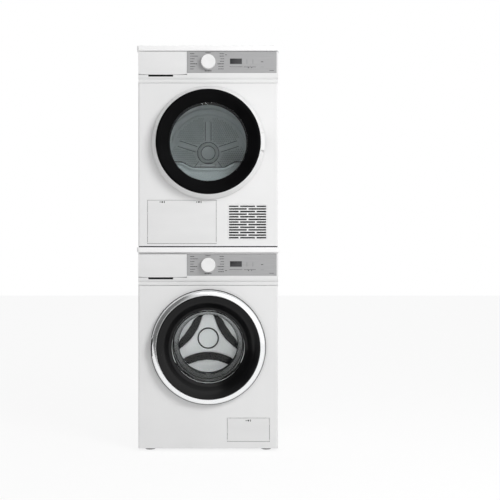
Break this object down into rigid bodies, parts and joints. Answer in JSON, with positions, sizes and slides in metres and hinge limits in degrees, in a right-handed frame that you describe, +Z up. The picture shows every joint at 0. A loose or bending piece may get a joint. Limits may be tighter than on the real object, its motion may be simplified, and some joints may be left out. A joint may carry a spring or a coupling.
{
  "type": "washer dryer stack",
  "caption": "Front-loading washing machine with a heat-pump tumble dryer stacked on top, with opening round doors, turning drums and dials, drawers and service flaps.",
  "frame": {"origin": "on the floor, under the middle of the stack's bounding box", "axes": "+X to the right of someone facing the doors, +Y towards the back, +Z up"},
  "size_m": [0.597, 0.633, 1.7],
  "materials": {
    "white_enamel": "smooth white powder coat on sheet steel",
    "white_laminate": "white melamine on chipboard",
    "white_abs": "moulded white ABS, semi-gloss",
    "grey_panel": "satin grey printed panel",
    "black_abs": "gloss black moulded ABS",
    "black_plastic": "matt black moulded plastic",
    "satin_trim": "silver-painted ABS trim",
    "bowl_glass": "pressed clear glass",
    "smoked_glass": "smoke-tinted toughened glass",
    "stainless": "stainless steel, pressed and perforated",
    "galvanised": "zinc-coated sheet steel",
    "cast_alloy": "die-cast aluminium",
    "light_plastic": "light grey moulded polypropylene",
    "gasket_rubber": "grey EPDM rubber",
    "black_rubber": "black rubber",
    "felt": "grey wool felt",
    "concrete": "cast ballast",
    "circuit": "green solder mask over glass fibre",
    "fins": "thin aluminium fins on copper pipes",
    "mesh": "grey nylon mesh in a plastic frame"
  },
  "bodies": {
    "cabinet": {"cabinet_sides": "white_enamel", "control_boards": "circuit", "dial_panels": "grey_panel", "drive_belts": "black_rubber", "drive_motors": "galvanised", "stacking_kit": "black_plastic", "levelling_feet": "black_rubber", "door_locks": "light_plastic", "washer_rear_panel": "galvanised", "washer_base": "black_plastic", "washer_worktop": "white_laminate", "washer_front_panel": "white_enamel", "washer_fascia": "white_abs", "drawer_housing": "black_plastic", "washer_hinge": "galvanised", "washer_gasket": "gasket_rubber", "washer_tub": "light_plastic", "washer_counterweight": "concrete", "washer_suspension": "galvanised", "drain_pump": "light_plastic", "rear_water_fittings": "light_plastic", "dryer_rear_panel": "galvanised", "dryer_base": "black_plastic", "dryer_worktop": "white_laminate", "dryer_front_panel": "white_enamel", "dryer_grille": "white_abs", "dryer_fascia": "white_abs", "tank_housing": "black_plastic", "dryer_hinge": "galvanised", "dryer_bulkheads": "light_plastic", "dryer_drum_seal": "felt", "heat_exchanger": "fins", "compressor": "black_plastic"},
    "washer_door": {"washer_door_ring": "satin_trim", "washer_door_bezel": "black_abs", "washer_door_glass": "bowl_glass", "washer_door_frame": "light_plastic"},
    "dryer_door": {"dryer_door_ring": "white_abs", "dryer_door_bezel": "black_abs", "dryer_door_glass": "smoked_glass", "dryer_door_frame": "light_plastic"},
    "washer_drum": {"washer_drum": "stainless", "washer_drum_back": "stainless", "washer_lifters": "light_plastic", "washer_drum_shaft": "cast_alloy", "washer_pulley": "cast_alloy"},
    "washer_motor_shaft": {"washer_motor_pulley": "stainless"},
    "dryer_drum": {"dryer_drum": "stainless", "dryer_drum_back": "stainless", "dryer_lifters": "light_plastic"},
    "dryer_motor_shaft": {"dryer_fan": "black_plastic"},
    "washer_dial": {"washer_knob": "white_abs"},
    "dryer_dial": {"dryer_knob": "white_abs"},
    "detergent_drawer": {"detergent_drawer_front": "white_abs", "detergent_drawer_tray": "light_plastic"},
    "condensate_drawer": {"water_tank": "white_abs"},
    "pump_filter": {"pump_filter_cap": "light_plastic"},
    "pump_cover": {"pump_flap": "white_abs"},
    "exchanger_cover": {"exchanger_flap": "white_abs"},
    "lint_cassette": {"lint_filter": "mesh"}
  },
  "joints": [
    {"name": "washer_door_hinge", "type": "hinge", "parent": "cabinet", "child": "washer_door", "pos_m": [-0.226, -0.2825, 0.437], "axis": [0, 0, -1], "range_deg": [0, 120]},
    {"name": "dryer_door_hinge", "type": "hinge", "parent": "cabinet", "child": "dryer_door", "pos_m": [0.224, -0.2825, 1.294], "axis": [0, 0, 1], "range_deg": [0, 120]},
    {"name": "washer_drum_spin", "type": "hinge", "parent": "cabinet", "child": "washer_drum", "pos_m": [0, -0.0115, 0.437], "axis": [0, 1, 0], "continuous": true},
    {"name": "washer_motor_spin", "type": "hinge", "parent": "cabinet", "child": "washer_motor_shaft", "pos_m": [0.12, 0.1385, 0.13], "axis": [0, 1, 0], "continuous": true},
    {"name": "dryer_drum_spin", "type": "hinge", "parent": "cabinet", "child": "dryer_drum", "pos_m": [0, -0.0115, 1.294], "axis": [0, 1, 0], "continuous": true},
    {"name": "dryer_motor_spin", "type": "hinge", "parent": "cabinet", "child": "dryer_motor_shaft", "pos_m": [0.165, -0.0115, 0.945], "axis": [0, 1, 0], "continuous": true},
    {"name": "washer_dial_turn", "type": "hinge", "parent": "cabinet", "child": "washer_dial", "pos_m": [0, -0.2815, 0.781], "axis": [0, 1, 0], "continuous": true},
    {"name": "dryer_dial_turn", "type": "hinge", "parent": "cabinet", "child": "dryer_dial", "pos_m": [0, -0.2815, 1.631], "axis": [0, 1, 0], "continuous": true},
    {"name": "detergent_drawer_slide", "type": "slide", "parent": "cabinet", "child": "detergent_drawer", "axis": [0, -1, 0], "range_m": [0, 0.18]},
    {"name": "condensate_drawer_slide", "type": "slide", "parent": "cabinet", "child": "condensate_drawer", "axis": [0, -1, 0], "range_m": [0, 0.34]},
    {"name": "pump_filter_turn", "type": "hinge", "parent": "cabinet", "child": "pump_filter", "pos_m": [0.169, -0.2315, 0.088], "axis": [0, -1, 0], "range_deg": [0, 90]},
    {"name": "pump_cover_hinge", "type": "hinge", "parent": "cabinet", "child": "pump_cover", "pos_m": [0.169, -0.257, 0.044], "axis": [1, 0, 0], "range_deg": [0, 90]},
    {"name": "exchanger_cover_hinge", "type": "hinge", "parent": "cabinet", "child": "exchanger_cover", "pos_m": [-0.1105, -0.257, 0.875], "axis": [1, 0, 0], "range_deg": [0, 90]},
    {"name": "lint_filter_lift", "type": "slide", "parent": "cabinet", "child": "lint_cassette", "axis": [0, 0, 1], "range_m": [0, 0.1]}
  ],
  "couplings": [
    {"joint": "washer_motor_spin", "follows": "washer_drum_spin", "ratio": 14},
    {"joint": "dryer_motor_spin", "follows": "dryer_drum_spin", "ratio": 26.5}
  ]
}
